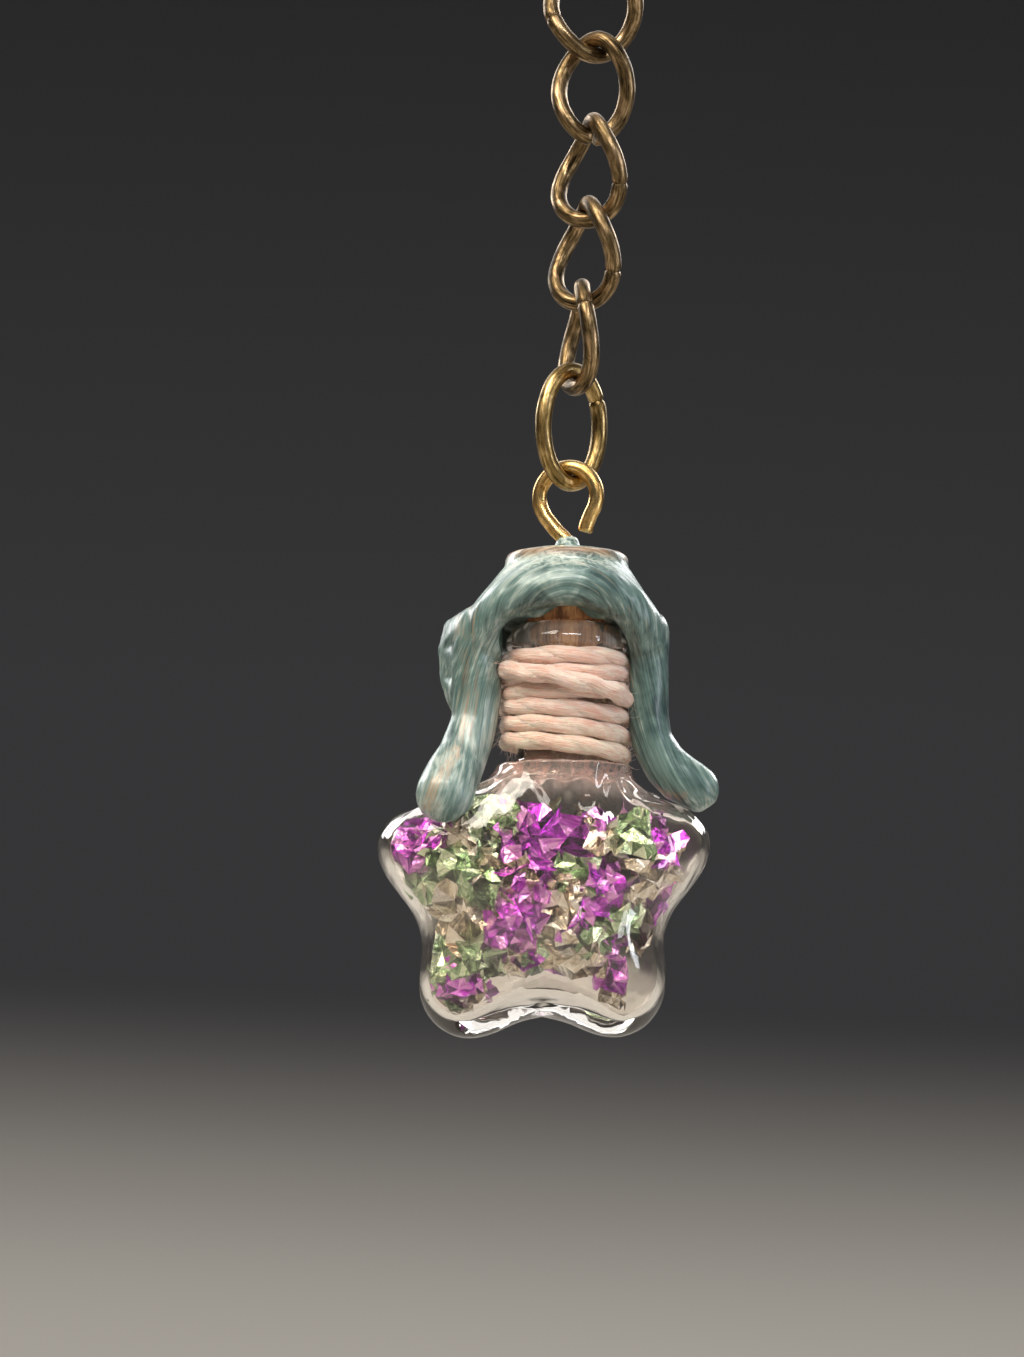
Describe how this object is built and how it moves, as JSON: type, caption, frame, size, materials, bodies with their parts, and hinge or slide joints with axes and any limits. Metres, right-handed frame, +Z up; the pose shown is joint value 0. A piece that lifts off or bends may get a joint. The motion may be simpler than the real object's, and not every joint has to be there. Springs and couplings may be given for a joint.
{
  "type": "star bottle pendant on a short curb chain",
  "caption": "Small star-shaped clear glass bottle of crumpled foil, corked, thread-bound and wax-sealed, hung by a screw eye and ring from a short curb chain.",
  "frame": {"origin": "underside of the top link's crown, where the pendant hangs on whatever carries it", "axes": "+Z up, the front of the star faces -Y, +X to the right as seen from the front"},
  "size_m": [0.0222, 0.0116, 0.0738],
  "materials": {
    "antique_brass": "antiqued brass wire, dark in the hollows and rubbed bright on the bearing faces",
    "ring_brass": "plain brass wire, lightly tarnished",
    "eye_brass": "bright drawn brass wire",
    "cork": "cut natural cork",
    "clear_glass": "clear blown glass, flame-polished",
    "thread": "soft-spun cotton thread, slightly fuzzy",
    "teal_wax": "poured sealing wax with pearl pigment and copper streaks, satin gloss",
    "magenta_foil": "crumpled dyed foil",
    "green_foil": "crumpled dyed foil",
    "silver_foil": "crumpled champagne silver foil"
  },
  "bodies": {
    "chain": {"link_1": "antique_brass", "link_2": "antique_brass", "link_3": "antique_brass", "link_4": "antique_brass", "link_5": "antique_brass", "drop_ring": "ring_brass"},
    "bottle": {"screw_eye": "eye_brass", "cork": "cork", "glass_bottle": "clear_glass", "neck_thread": "thread", "wax_seal": "teal_wax", "foil_magenta": "magenta_foil", "foil_green": "green_foil", "foil_silver": "silver_foil"}
  },
  "joints": [
    {"name": "bottle_swing", "type": "hinge", "parent": "chain", "child": "bottle", "pos_m": [0.00004, 0, -0.03575], "axis": [0.5878, 0.809, 0], "range_deg": [-60, 60]}
  ]
}
